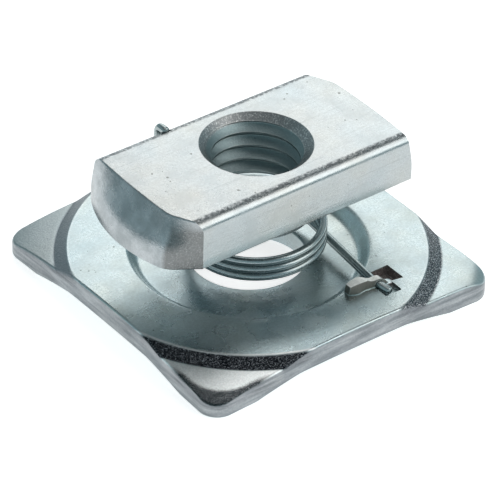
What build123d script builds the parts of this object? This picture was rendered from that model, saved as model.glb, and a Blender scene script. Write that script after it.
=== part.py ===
from build123d import *
from math import atan2, cos, degrees, pi, radians, sin, sqrt
import os

# Strut spring nut: a pressed square washer, a one-piece wire spring clipped to it,
# and a bar nut that hangs on the spring's upper hook.
# Millimetres. Origin on the washer's axis at the level of its underside, +Z up,
# +X along the nut's long axis, -Y the side that carries the spring's clip.

# ---- driving dimensions: washer ----
plate_side = 40.2            # across the corners' straight ends
side_hollow = 0.45           # pressing draws the middle of each side in
plate_corner_radius = 2.4
sheet = 2.9                  # sheet thickness
ring_raise = 1.05            # how far the ring is pressed up above the corners
ring_edge_radius = 20.6      # top edge of the ring's outer step
outer_step_run = 1.45        # from that edge to the foot of the step
under_step_run = 3.1         # the same step on the underside is wider and softer
under_step_inset = 0.4       # and starts this far outside the ring's edge
dish_rim_radius = 13.85      # top edge of the dish's step
dish_step_run = 1.15         # from that edge in to the foot of the step
dish_floor_top = 2.6         # the dish is coined a little thinner
bend_radius = 0.35           # rounding of the pressed steps
hole_diameter = 13.5         # clearance hole for the bolt
hole_edge_break = 0.25
corner_flat_run = 0.25       # level strip between the outer step and the corner's roll
corner_roll_drop = 1.0       # how far the tips of the corners roll down

# ---- driving dimensions: nut ----
thread_diameter = 12.0
thread_minor_diameter = 10.2
nut_length = 36.4            # across the two round ends
nut_width = 17.8
nut_thickness = 6.0
nut_seat_height = 12.0       # underside of the nut above the washer's underside
nut_edge_radius = 1.3        # long top edges of the rolled bar
upright_end_height = 2.4     # the ends stand upright this far, then lean in
top_length = 31.1            # across the ends at the top face
top_end_radius = 110.0       # the ends bow out less there than at the foot
corner_cut_half = 13.5       # the flats across the two corners that lead when the nut is turned
foot_cut_depth = 2.3         # meet the long sides this far out, and reach across the bar by so much
top_cut_depth = 3.9          # at the foot, and by so much at the top face
cut_blend_radius = 3.0       # where a flat runs into the bowed end
hole_off_x = 0.65            # the thread sits a little off the bar's middle
hole_off_y = 0.2
countersink_diameter = 12.95
countersink_depth = 1.15
nut_lean_direction = -56.0   # where the slack lets the nut hang, in degrees from +X

# ---- driving dimensions: spring ----
wire_diameter = 1.0
wire_sides = 10              # flats round the wire, few enough to keep its mesh light
coil_radius = 7.6            # to the wire's centre
coil_pitch = 1.02
coil_off_x = 0.25            # the coil stands off the thread's axis, towards its leg
coil_start_height = 4.35     # wire centre where the lower leg leaves the coil
coil_start_angle = -5.5
coil_end_angle = 78.0        # after the whole turns
coil_whole_turns = 3
leg_length = 15.4
hook_x = -6.3
hook_reach = 1.0             # how far the hook reaches in over the nut's rear edge
hook_notch_depth = 0.6
hook_bend_radius = 0.75
riser_bend_radius = 2.2
riser_run = 3.6
riser_foot_height = 10.6

# ---- driving dimensions: clip on the washer ----
clip_y = -13.9               # middle of the strap
strap_width = 1.2
strap_thickness = 0.45
strap_half_span = 0.65       # from the wire's centre to where the strap meets its lug
lug_length = 3.3
lug_foot_width = 2.0
lug_root_depth = 1.45        # down into the dish's step
pocket_length = 1.85         # clear of the strap's foot
pocket_width = 2.7
pocket_depth = 1.3
tail_groove_width = 1.9
tail_groove_length = 2.3
tail_groove_depth = 0.5

# ---- clearances ----
fit_gap = 0.06               # wire in its clip and in the nut's notch
hook_gap = 0.15              # upright wire behind the nut

# ---- derived sizes ----
ring_top = sheet + ring_raise
ring_foot_radius = ring_edge_radius + outer_step_run
under_step_radius = ring_edge_radius + under_step_inset
dish_floor_radius = dish_rim_radius - dish_step_run
corner_roll_start = ring_foot_radius + corner_flat_run
hole_radius = hole_diameter / 2
wire_radius = wire_diameter / 2
bolt_slack = (hole_diameter - thread_diameter) / 2
nut_x = bolt_slack * cos(radians(nut_lean_direction))
nut_y = bolt_slack * sin(radians(nut_lean_direction))
coil_x = nut_x + coil_off_x
nut_top = nut_seat_height + nut_thickness
nut_rear = nut_y - hole_off_y + nut_width / 2


def washer_profile():
    """Half section of the pressed sheet in the XZ plane."""
    reach = plate_side  # beyond the corners, the square cuts it
    corner_tip = (plate_side / 2 - plate_corner_radius) * sqrt(2) + plate_corner_radius
    tip_height = sheet - corner_roll_drop
    roll_width = corner_tip - corner_roll_start
    roll_radius = (roll_width**2 + corner_roll_drop**2) / (2 * corner_roll_drop)
    step_slope = (dish_rim_radius - dish_floor_radius) / (ring_top - dish_floor_top)
    underside_offset = sheet * (sqrt(1 + step_slope**2) - step_slope)
    with BuildSketch(Plane.XZ) as section:
        with BuildLine():
            upper = Polyline(
                (hole_radius, dish_floor_top),
                (dish_floor_radius, dish_floor_top),
                (dish_rim_radius, ring_top),
                (ring_edge_radius, ring_top),
                (ring_foot_radius, sheet),
                (corner_roll_start, sheet),
            )
            roll = RadiusArc(upper @ 1, (corner_tip, tip_height), roll_radius)
            Polyline(
                roll @ 1,
                (reach, tip_height),
                (reach, 0),
                (under_step_radius + under_step_run, 0),
                (under_step_radius, ring_raise),
                (dish_rim_radius + underside_offset, ring_raise),
                (dish_floor_radius + underside_offset, 0),
                (hole_radius, 0),
                upper @ 0,
            )
        make_face()
        fillet(section.vertices().group_by(Axis.Y)[-1], bend_radius)
    return section.sketch


def plate_outline():
    """Square with rounded corners and sides drawn in along their middle."""
    half = plate_side / 2
    with BuildSketch() as outline:
        corners = [(half, -half), (half, half), (-half, half), (-half, -half)]
        middles = [(half - side_hollow, 0), (0, half - side_hollow)]
        middles += [(side_hollow - half, 0), (0, side_hollow - half)]
        with BuildLine():
            for corner, middle, following in zip(corners, middles, corners[1:] + corners[:1]):
                ThreePointArc(corner, middle, following)
        make_face()
        fillet(outline.vertices(), plate_corner_radius)
    return outline.sketch


def leg_start():
    angle = radians(coil_start_angle)
    return Vector(
        coil_x + coil_radius * cos(angle), nut_y + coil_radius * sin(angle), coil_start_height
    )


def leg_direction():
    """Straight on from the coil's first turn, downwards at the coil's own slope."""
    angle = radians(coil_start_angle)
    slope = coil_pitch / (2 * pi * coil_radius)
    return Vector(sin(angle), -cos(angle), -slope).normalized()


def leg_point_at_y(y):
    start, direction = leg_start(), leg_direction()
    return start + direction * ((y - start.Y) / direction.Y)


def make_washer():
    blank = extrude(plate_outline(), amount=2 * ring_top)
    body = revolve(washer_profile(), Axis.Z) & blank
    hole_rims = body.edges().filter_by(GeomType.CIRCLE).filter_by(
        lambda e: abs(e.radius - hole_radius) < fit_gap
    )
    return add_clip(chamfer(hole_rims, hole_edge_break))


def add_clip(body):
    """Lug and strap staked over the wire, the pocket beside it and the groove at its end."""
    wire = leg_point_at_y(clip_y)
    strap_top = wire.Z + wire_radius + fit_gap + strap_thickness
    lug_middle = wire.X - strap_half_span - lug_length / 2
    strap_bend = wire.X + strap_half_span
    strap_foot = strap_bend + 2 * strap_thickness
    pocket_floor = ring_top - pocket_depth

    foot = Pos(lug_middle, clip_y, ring_top)
    lug_rise = strap_top - ring_top
    lug_draft = degrees(atan2((lug_foot_width - strap_width) / 2, lug_rise))
    lug = extrude(foot * Rectangle(lug_length, lug_foot_width), amount=lug_rise, taper=lug_draft)
    root = foot * Box(
        lug_length, lug_foot_width, lug_root_depth, align=(Align.CENTER, Align.CENTER, Align.MAX)
    )

    with BuildSketch(Plane.XZ.offset(-clip_y - strap_width / 2)) as strap_section:
        with BuildLine():
            Polyline(
                (lug_middle, pocket_floor),
                (lug_middle, strap_top),
                (strap_bend, strap_top),
                (strap_foot, ring_top),
                (strap_foot, pocket_floor),
                close=True,
            )
        make_face()
    strap = extrude(strap_section.sketch, amount=strap_width)

    pocket = Pos(strap_bend, clip_y, pocket_floor) * Box(
        strap_foot - strap_bend + pocket_length,
        pocket_width,
        sheet,
        align=(Align.MIN, Align.CENTER, Align.MIN),
    )
    tail_end = leg_start() + leg_direction() * leg_length
    tail_groove = Pos(tail_end.X, tail_end.Y - fit_gap, ring_top - tail_groove_depth) * Box(
        tail_groove_width, tail_groove_length, sheet, align=(Align.CENTER, Align.MIN, Align.MIN)
    )
    return (body - pocket - tail_groove + root + lug + strap) - wire_passage()


def wire_passage():
    """The room that the lower leg takes in the ring and under the strap, with its clearance."""
    start = leg_point_at_y(2 * wire_diameter - dish_floor_radius)
    end = leg_start() + leg_direction() * (leg_length + fit_gap)
    run = Plane(origin=start, z_dir=leg_direction())
    return extrude(run * Circle(wire_radius + fit_gap), amount=(end - start).length)


def make_spring():
    """One wire: straight lower leg, close-wound coil, riser behind the nut, end hook."""
    start, direction = leg_start(), leg_direction()
    tail_end = start + direction * leg_length
    turned = coil_whole_turns * 360 + coil_end_angle - coil_start_angle
    height = coil_pitch * turned / 360
    coil = Pos(coil_x, nut_y, coil_start_height) * Rot(0, 0, coil_start_angle) * Helix(
        coil_pitch, height, coil_radius
    )
    top, heading = coil @ 1, coil % 1
    riser_y = nut_rear + hook_gap + wire_radius
    hook_z = nut_top - hook_notch_depth + fit_gap + wire_radius
    corner = top + heading * riser_run
    rising = FilletPolyline(
        top,
        corner,
        (hook_x, riser_y, riser_foot_height),
        (hook_x, riser_y, hook_z),
        (hook_x, nut_rear - hook_reach, hook_z),
        radius=(riser_bend_radius, riser_bend_radius, hook_bend_radius),
    )
    path = Wire([Line(tail_end, start).edge(), *coil.edges(), *rising.edges()])
    section = Plane(origin=tail_end, z_dir=-direction) * RegularPolygon(wire_radius, wire_sides)
    return sweep(section, path=path), path


def make_nut():
    """Rolled bar with rounded long top edges, sheared to round ends and drilled."""
    with BuildSketch(Plane.YZ) as bar_section:
        Rectangle(nut_width, nut_thickness, align=(Align.CENTER, Align.MIN))
        fillet(bar_section.vertices().group_by(Axis.Y)[-1], nut_edge_radius)
    bar = extrude(bar_section.sketch, amount=nut_length / 2, both=True)
    foot = bar_outline(nut_length, nut_length / 2, foot_cut_depth)
    top = bar_outline(top_length, top_end_radius, top_cut_depth)
    ends = extrude(foot, amount=upright_end_height)
    ends += loft([Pos(0, 0, upright_end_height) * foot, Pos(0, 0, nut_thickness) * top], ruled=True)
    body = Pos(-hole_off_x, -hole_off_y, 0) * (bar & ends)
    body -= Cylinder(thread_minor_diameter / 2, 3 * nut_thickness)
    sink = Cone(
        thread_minor_diameter / 2,
        countersink_diameter / 2,
        countersink_depth,
        align=(Align.CENTER, Align.CENTER, Align.MAX),
    )
    body -= Pos(0, 0, nut_thickness) * sink
    body -= Rot(180, 0, 0) * sink
    return Pos(nut_x, nut_y, nut_seat_height) * body - hook_notch()


def bar_outline(length, end_radius, cut_depth):
    """Outline of the bar at one height: bowed ends, and a flat sheared across each leading corner."""
    side = nut_width / 2
    cut_y = side - cut_depth

    def end_x(y):
        return length / 2 - end_radius + sqrt(end_radius**2 - y**2)

    with BuildSketch() as outline:
        with BuildLine():
            for way in (1, -1):
                trailing = Vector(end_x(side), -side) * way
                middle = Vector(end_x(0), 0) * way
                cut_start = Vector(end_x(cut_y), cut_y) * way
                cut_end = Vector(corner_cut_half, side) * way
                ThreePointArc(trailing, middle, cut_start)
                Polyline(cut_start, cut_end, Vector(-end_x(side), side) * way)
        make_face()
        blends = outline.vertices().filter_by(lambda v: side - abs(v.Y) > cut_depth / 2)
        fillet(blends, cut_blend_radius)
    return outline.sketch


def hook_notch():
    """Nick in the nut's rear top edge that the wire's hook lies in."""
    width = wire_diameter + 2 * fit_gap
    reach = hook_reach + wire_radius
    return Pos(hook_x, nut_rear, nut_top) * Box(width, 2 * reach, 2 * hook_notch_depth)


os.makedirs("parts", exist_ok=True)
spring, wire_path = make_spring()
for name, solid in (
    ("square_washer", make_washer()),
    ("retaining_spring", spring),
    ("channel_nut", make_nut()),
):
    export_step(solid, f"parts/{name}.step")
print("wire length", round(wire_path.length, 2), "mm")
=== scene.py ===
"""Strut spring nut: a square washer, the coil spring that is staked to it, and the nut that the spring carries.

Sizes in the tables below are in millimetres, as on a drawing. They become metres as the pieces are made.
"""

from contextlib import contextmanager
from math import atan2, ceil, cos, pi, radians, sin, sqrt, tan

import bmesh
import bpy
from mathutils import Matrix, Vector
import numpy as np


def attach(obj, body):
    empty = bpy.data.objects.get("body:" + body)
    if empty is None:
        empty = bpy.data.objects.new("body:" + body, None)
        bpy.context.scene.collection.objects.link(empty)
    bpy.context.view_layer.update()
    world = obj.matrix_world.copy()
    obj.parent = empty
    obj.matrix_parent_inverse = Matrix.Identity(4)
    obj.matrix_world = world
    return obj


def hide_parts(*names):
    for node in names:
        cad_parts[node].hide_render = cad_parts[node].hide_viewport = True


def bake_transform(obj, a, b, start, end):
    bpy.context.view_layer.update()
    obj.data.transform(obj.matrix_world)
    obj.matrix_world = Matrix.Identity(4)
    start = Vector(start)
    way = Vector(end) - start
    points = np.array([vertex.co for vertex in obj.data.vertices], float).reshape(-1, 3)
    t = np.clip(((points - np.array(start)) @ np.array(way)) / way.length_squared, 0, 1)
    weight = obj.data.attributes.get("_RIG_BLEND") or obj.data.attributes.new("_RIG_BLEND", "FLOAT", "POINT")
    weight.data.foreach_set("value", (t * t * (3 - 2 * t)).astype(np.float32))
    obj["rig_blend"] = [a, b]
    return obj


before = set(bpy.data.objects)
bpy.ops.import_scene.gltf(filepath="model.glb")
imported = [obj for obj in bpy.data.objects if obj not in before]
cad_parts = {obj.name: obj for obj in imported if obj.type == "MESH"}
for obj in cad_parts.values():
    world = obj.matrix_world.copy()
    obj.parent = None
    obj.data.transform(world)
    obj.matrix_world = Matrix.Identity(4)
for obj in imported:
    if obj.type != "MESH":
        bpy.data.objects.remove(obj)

bl_info = {
    "name": "Strut Spring Nut",
    "version": (1, 0, 0),
    "blender": (4, 5, 0),
    "location": "View3D > Sidebar > Spring Nut",
    "description": "Builds a strut spring nut: square washer, coil spring and channel nut",
    "category": "Add Mesh",
}

MM = 0.001
CLEAR = 0.06  # room left between pieces that fit into each other
MERGE = 0.0005 * MM  # points nearer to each other than this are one


# ---------------------------------------------------------------- sizes that a user would change


class SpringNutWasher(bpy.types.PropertyGroup):
    """The pressed square washer and the clip staked out of it."""

    side: bpy.props.FloatProperty(
        name="Side", description="Across the flats, at the corners", default=40.18 * MM, unit="LENGTH")
    hollow: bpy.props.FloatProperty(
        name="Hollow", description="Fall of each side at its middle", default=0.45 * MM, unit="LENGTH")
    corner: bpy.props.FloatProperty(
        name="Corner Radius", description="Radius of the four corners", default=2.4 * MM, unit="LENGTH")
    hole: bpy.props.FloatProperty(
        name="Hole", description="Diameter of the clearance hole", default=13.5 * MM, unit="LENGTH")
    rim_break: bpy.props.FloatProperty(
        name="Rim Break", description="Rounding of the sheared rim", default=0.28 * MM, unit="LENGTH")
    colour: bpy.props.FloatVectorProperty(
        name="Colour", description="Colour of the plated washer", subtype="COLOR", size=3,
        default=(0.452, 0.52, 0.535))


class SpringNutWire(bpy.types.PropertyGroup):
    """The coil spring, bent from one wire."""

    wire: bpy.props.FloatProperty(
        name="Wire", description="Diameter of the spring wire", default=1.0 * MM, unit="LENGTH")
    coil: bpy.props.FloatProperty(
        name="Coil Radius", description="From the coil's middle to the wire's", default=7.6 * MM, unit="LENGTH")
    colour: bpy.props.FloatVectorProperty(
        name="Colour", description="Colour of the plated wire", subtype="COLOR", size=3,
        default=(0.36, 0.41, 0.42))


class SpringNutNut(bpy.types.PropertyGroup):
    """The channel nut."""

    pitch: bpy.props.FloatProperty(
        name="Thread Pitch", description="Rise of the thread in one turn", default=1.75 * MM, unit="LENGTH")
    thread: bpy.props.FloatProperty(
        name="Thread", description="Outer diameter of the thread", default=12.0 * MM, unit="LENGTH")
    bore: bpy.props.FloatProperty(
        name="Bore", description="Diameter of the bore inside the thread", default=10.2 * MM, unit="LENGTH")
    edge: bpy.props.FloatProperty(
        name="Edge Radius", description="Radius of the two long upper edges", default=1.3 * MM, unit="LENGTH")
    colour: bpy.props.FloatVectorProperty(
        name="Colour", description="Colour of the plated nut", subtype="COLOR", size=3,
        default=(0.465, 0.49, 0.495))


# ---------------------------------------------------------------- small helpers


def clear_selection():
    """Leaves object mode with nothing selected."""
    if bpy.context.object and bpy.context.object.mode != "OBJECT":
        bpy.ops.object.mode_set(mode="OBJECT")
    bpy.ops.object.select_all(action="DESELECT")


def pick(obj):
    """Makes obj the only selected and active object."""
    clear_selection()
    obj.select_set(True)
    bpy.context.view_layer.objects.active = obj
    return obj


def named(name):
    """Names the object that an operator has just added."""
    obj = bpy.context.object
    obj.name = obj.data.name = name
    return obj


def closed_loop(name, points):
    """A closed loop of edges through points given in millimetres."""
    clear_selection()
    bpy.ops.mesh.primitive_circle_add(vertices=len(points), radius=MM, fill_type="NOTHING")
    obj = named(name)
    for vertex, point in zip(obj.data.vertices, points):
        vertex.co = Vector(point) * MM
    return obj


@contextmanager
def whole_mesh(obj):
    """Edit mode on obj, with all of it selected."""
    pick(obj)
    bpy.ops.object.mode_set(mode="EDIT")
    bpy.ops.mesh.select_all(action="SELECT")
    yield
    bpy.ops.object.mode_set(mode="OBJECT")


def outward(obj):
    """Merges doubles and turns every face outward."""
    with whole_mesh(obj):
        bpy.ops.mesh.remove_doubles(threshold=MERGE)
        bpy.ops.mesh.normals_make_consistent(inside=False)


def bridged(name, loops):
    """A closed solid through loops of as many points each, bridged in order and filled at both ends."""
    parts = [closed_loop(f"{name}_{i}", loop) for i, loop in enumerate(loops)]
    clear_selection()
    for part in parts:
        part.select_set(True)
    bpy.context.view_layer.objects.active = parts[0]
    bpy.ops.object.join()
    obj = named(name)
    count, last = len(loops[0]), (len(loops) - 1) * len(loops[0])
    with whole_mesh(obj):
        mesh = bmesh.from_edit_mesh(obj.data)
        mesh.verts.ensure_lookup_table()
        for level in range(0, last, count):
            for i in range(count):
                a, b = level + i, level + (i + 1) % count
                mesh.faces.new([mesh.verts[k] for k in (a, b, b + count, a + count)])
        for level in (0, last):
            mesh.faces.new([mesh.verts[level + i] for i in range(count)])
        bmesh.update_edit_mesh(obj.data)
    outward(obj)
    return obj


def settled(obj):
    """Puts the object's place, turn and scale into its mesh."""
    bpy.ops.object.transform_apply(location=True, rotation=True, scale=True)
    return obj


def block(name, low, high, round_off=0.0):
    """A block between two corners in millimetres, with its edges rounded off."""
    clear_selection()
    low, high = Vector(low), Vector(high)
    bpy.ops.mesh.primitive_cube_add(size=1, location=(low + high) / 2 * MM, scale=(high - low) * MM)
    obj = settled(named(name))
    if round_off:
        with whole_mesh(obj):
            bpy.ops.mesh.bevel(offset=round_off * MM, segments=3, affect="EDGES")
    return obj


def rod(name, start, end, radius):
    """A straight rod between two points in millimetres."""
    clear_selection()
    way = end - start
    bpy.ops.mesh.primitive_cylinder_add(
        vertices=32, radius=radius * MM, depth=way.length * MM, location=(start + end) / 2 * MM,
        rotation=way.to_track_quat("Z", "X").to_euler())
    return settled(named(name))


def combine(obj, tool, how):
    """Cuts the tool from obj or adds it, and removes the tool."""
    pick(obj)
    change = obj.modifiers.new(how.title(), "BOOLEAN")
    change.operation, change.object, change.solver = how, tool, "EXACT"
    bpy.ops.object.modifier_apply(modifier=change.name)
    bpy.data.objects.remove(tool)
    return obj


def finish_piece(obj, material, angle=32):
    """Puts the piece's place into its mesh, smooths it up to an angle and gives it its material."""
    settled(pick(obj))
    bpy.ops.object.shade_smooth_by_angle(angle=radians(angle))
    obj.data.materials.clear()
    obj.data.materials.append(material)
    return obj


def steps(first, last, count):
    """Evenly spaced values from first to last, both included."""
    return [first + (last - first) * i / (count - 1) for i in range(count)]


def rounded_line(corners, radii, arc_steps=6):
    """A line through corners, in any number of dimensions, with its inner corners rounded off."""
    corners = [Vector(c) for c in corners]
    line = [corners[0]]
    for before, corner, after, radius in zip(corners, corners[1:], corners[2:], radii):
        into, out = (before - corner).normalized(), (after - corner).normalized()
        if not radius:
            line.append(corner)
            continue
        half = into.angle(out) / 2
        reach = min(radius / tan(half), (before - corner).length * 0.49, (after - corner).length * 0.49)
        radius = reach * tan(half)
        centre = corner + (into + out).normalized() * (radius / sin(half))
        start, end = corner + into * reach, corner + out * reach
        span = (start - centre).angle(end - centre)
        for i in range(arc_steps + 1):
            part = i / arc_steps
            weight_a, weight_b = sin((1 - part) * span) / sin(span), sin(part * span) / sin(span)
            line.append(centre + (start - centre) * weight_a + (end - centre) * weight_b)
    return line + [corners[-1]]


def height_on(line, radius):
    """Height of a pressed section, given as (radius, height) points in order, at a radius."""
    for a, b in zip(line, line[1:]):
        if radius <= b[0]:
            part = (radius - a[0]) / max(b[0] - a[0], 1e-9)
            return a[1] + (b[1] - a[1]) * max(part, 0.0)
    return line[-1][1]


# ---------------------------------------------------------------- finishes


def new_group(name, inputs, outputs):
    """An empty node group with the sockets given as (name, type, default)."""
    group = bpy.data.node_groups.new(name, "ShaderNodeTree")
    for label, kind, value in inputs:
        socket = group.interface.new_socket(name=label, in_out="INPUT", socket_type=kind)
        if value is not None:
            socket.default_value = value
    for label, kind in outputs:
        group.interface.new_socket(name=label, in_out="OUTPUT", socket_type=kind)
    return group, group.nodes.new("NodeGroupInput"), group.nodes.new("NodeGroupOutput")


def feed(tree, value, socket):
    """Links a socket into another one, or sets its number or colour."""
    if isinstance(value, bpy.types.NodeSocket):
        tree.links.new(value, socket)
    else:
        socket.default_value = value


def math_node(tree, operation, *values):
    """A Math node fed with sockets or numbers."""
    node = tree.nodes.new("ShaderNodeMath")
    node.operation = operation
    for value, socket in zip(values, node.inputs):
        feed(tree, value, socket)
    return node.outputs[0]


def plus(tree, a, b):
    """Two values added together."""
    return math_node(tree, "ADD", a, b)


def times(tree, first, *others):
    """Values or masks multiplied together."""
    for other in others:
        first = math_node(tree, "MULTIPLY", first, other)
    return first


def stretch(tree, value, low, high, to_low=0.0, to_high=1.0):
    """Maps a value from one range onto another, clamped."""
    node = tree.nodes.new("ShaderNodeMapRange")
    for label, item in (("Value", value), ("From Min", low), ("From Max", high),
                        ("To Min", to_low), ("To Max", to_high)):
        feed(tree, item, node.inputs[label])
    return node.outputs["Result"]


def noise(tree, vector, scale, detail, rough):
    """A noise texture on a vector."""
    node = tree.nodes.new("ShaderNodeTexNoise")
    for label, value in (("Vector", vector), ("Scale", scale), ("Detail", detail), ("Roughness", rough)):
        feed(tree, value, node.inputs[label])
    return node.outputs["Fac"]


def scaled(tree, vector, scale):
    """A vector with its axes scaled, which pulls a pattern long where the scale is small."""
    node = tree.nodes.new("ShaderNodeMapping")
    node.inputs["Scale"].default_value = scale
    tree.links.new(vector, node.inputs["Vector"])
    return node.outputs["Vector"]


def mix_colour(tree, factor, a, b, how="MIX"):
    """A Mix node for colours, fed with sockets or colours."""
    node = tree.nodes.new("ShaderNodeMix")
    node.data_type, node.blend_type = "RGBA", how
    for label, value in (("Factor", factor), ("A", a), ("B", b)):
        feed(tree, value, node.inputs[label])
    return node.outputs["Result"]


def mix_value(tree, factor, a, b):
    """A value between a and b by a mask."""
    return plus(tree, times(tree, a, math_node(tree, "SUBTRACT", 1.0, factor)), times(tree, factor, b))


def split_up(tree, vector):
    """X, Y and Z of a vector."""
    node = tree.nodes.new("ShaderNodeSeparateXYZ")
    tree.links.new(vector, node.inputs["Vector"])
    return [node.outputs[name] for name in "XYZ"]


def length_of(tree, a, b):
    """Length of a flat vector, from its two parts."""
    return math_node(tree, "SQRT", plus(tree, times(tree, a, a), times(tree, b, b)))


def facing(tree):
    """X, Y and Z of the surface's normal."""
    return split_up(tree, tree.nodes.new("ShaderNodeTexCoord").outputs["Normal"])


def facing_up(tree, low, high):
    """1 where the surface faces up by more than high, 0 below low."""
    return stretch(tree, facing(tree)[2], low, high)


def between(tree, value, low, high, soft):
    """1 where a length in metres lies between two in millimetres, with soft ends."""
    return times(tree, stretch(tree, value, (low - soft) * MM, (low + soft) * MM),
                 stretch(tree, value, (high - soft) * MM, (high + soft) * MM, 1.0, 0.0))


def tinted(colour, red, green, blue):
    """The colour with its three parts scaled, up to white."""
    return (min(colour[0] * red, 1), min(colour[1] * green, 1), min(colour[2] * blue, 1), 1)


def plating_grain():
    """Fine crystalline grain of the zinc: a height and a patchiness."""
    group, into, out = new_group(
        "Plating Grain",
        [("Vector", "NodeSocketVector", None), ("Grains per Metre", "NodeSocketFloat", 3500.0)],
        [("Height", "NodeSocketFloat"), ("Patches", "NodeSocketFloat")])
    fine = noise(group, into.outputs["Vector"], into.outputs["Grains per Metre"], 4.0, 0.65)
    broad = noise(group, into.outputs["Vector"], times(group, into.outputs["Grains per Metre"], 0.08), 3.0, 0.55)
    group.links.new(fine, out.inputs["Height"])
    group.links.new(broad, out.inputs["Patches"])
    return group


def fine_pits():
    """Scattered dark pits and specks."""
    group, into, out = new_group(
        "Fine Pits",
        [("Vector", "NodeSocketVector", None), ("Pits per Metre", "NodeSocketFloat", 1200.0),
         ("Size", "NodeSocketFloat", 0.2)],
        [("Mask", "NodeSocketFloat")])
    cells = group.nodes.new("ShaderNodeTexVoronoi")
    group.links.new(into.outputs["Vector"], cells.inputs["Vector"])
    group.links.new(into.outputs["Pits per Metre"], cells.inputs["Scale"])
    lone = noise(group, into.outputs["Vector"], times(group, into.outputs["Pits per Metre"], 0.35), 2.0, 0.5)
    size = times(group, into.outputs["Size"], stretch(group, lone, 0.52, 0.72))
    mask = math_node(group, "LESS_THAN", cells.outputs["Distance"], size)
    group.links.new(mask, out.inputs["Mask"])
    return group


def drawn_scratches():
    """Long faint scratches that run along the vector's X."""
    group, into, out = new_group(
        "Drawn Scratches",
        [("Vector", "NodeSocketVector", None), ("Lines per Metre", "NodeSocketFloat", 2500.0),
         ("Amount", "NodeSocketFloat", 0.4)],
        [("Mask", "NodeSocketFloat"), ("Height", "NodeSocketFloat")])
    pulled = scaled(group, into.outputs["Vector"], (0.035, 1.0, 1.0))
    lines = noise(group, pulled, into.outputs["Lines per Metre"], 3.0, 0.7)
    mask = stretch(group, lines, 0.56, 0.72)
    group.links.new(times(group, mask, into.outputs["Amount"]), out.inputs["Mask"])
    group.links.new(lines, out.inputs["Height"])
    return group


def edge_rub_and_highlight():
    """Where the edges are painted bright: partly rubbed by handling, partly a painted highlight along them."""
    group, into, out = new_group(
        "Edge Rub And Highlight",
        [("Reach", "NodeSocketFloat", 0.25 * MM), ("Vector", "NodeSocketVector", None)],
        [("Mask", "NodeSocketFloat")])
    soft = group.nodes.new("ShaderNodeBevel")
    soft.samples = 6
    group.links.new(into.outputs["Reach"], soft.inputs["Radius"])
    face = group.nodes.new("ShaderNodeNewGeometry")
    dot = group.nodes.new("ShaderNodeVectorMath")
    dot.operation = "DOT_PRODUCT"
    group.links.new(soft.outputs["Normal"], dot.inputs[0])
    group.links.new(face.outputs["Normal"], dot.inputs[1])
    wear_and_highlight_patches = noise(group, into.outputs["Vector"], 900.0, 3.0, 0.6)
    edge = stretch(group, dot.outputs["Value"], 0.98, 0.82)
    mask = times(group, edge, stretch(group, wear_and_highlight_patches, 0.35, 0.6, 0.35, 1.0))
    group.links.new(mask, out.inputs["Mask"])
    return group


def passivation_tint():
    """Slow drift of the clear passivation between blue and straw."""
    group, into, out = new_group(
        "Passivation Tint",
        [("Vector", "NodeSocketVector", None), ("Colour", "NodeSocketColor", (0.6, 0.6, 0.6, 1)),
         ("Strength", "NodeSocketFloat", 0.5)],
        [("Colour", "NodeSocketColor")])
    drift = noise(group, into.outputs["Vector"], 130.0, 3.0, 0.6)
    ramp = group.nodes.new("ShaderNodeValToRGB")
    blue, straw = ramp.color_ramp.elements
    blue.position, blue.color = 0.30, (0.78, 0.93, 1.0, 1)
    straw.position, straw.color = 0.72, (1.0, 0.97, 0.86, 1)
    ramp.color_ramp.elements.new(0.5).color = (0.93, 0.99, 1.0, 1)
    group.links.new(drift, ramp.inputs["Fac"])
    tint = mix_colour(group, into.outputs["Strength"], into.outputs["Colour"], ramp.outputs["Color"], "MULTIPLY")
    group.links.new(tint, out.inputs["Colour"])
    return group


def place_group(tree, name, make, vector, **values):
    """Puts a node group, made when it is first needed, into a material, with its vector and its own values."""
    node = tree.nodes.new("ShaderNodeGroup")
    node.node_tree = bpy.data.node_groups.get(name) or make()
    for label, value in (("Vector", vector), *values.items()):
        feed(tree, value, node.inputs[label.replace("_", " ")])
    return node


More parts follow.
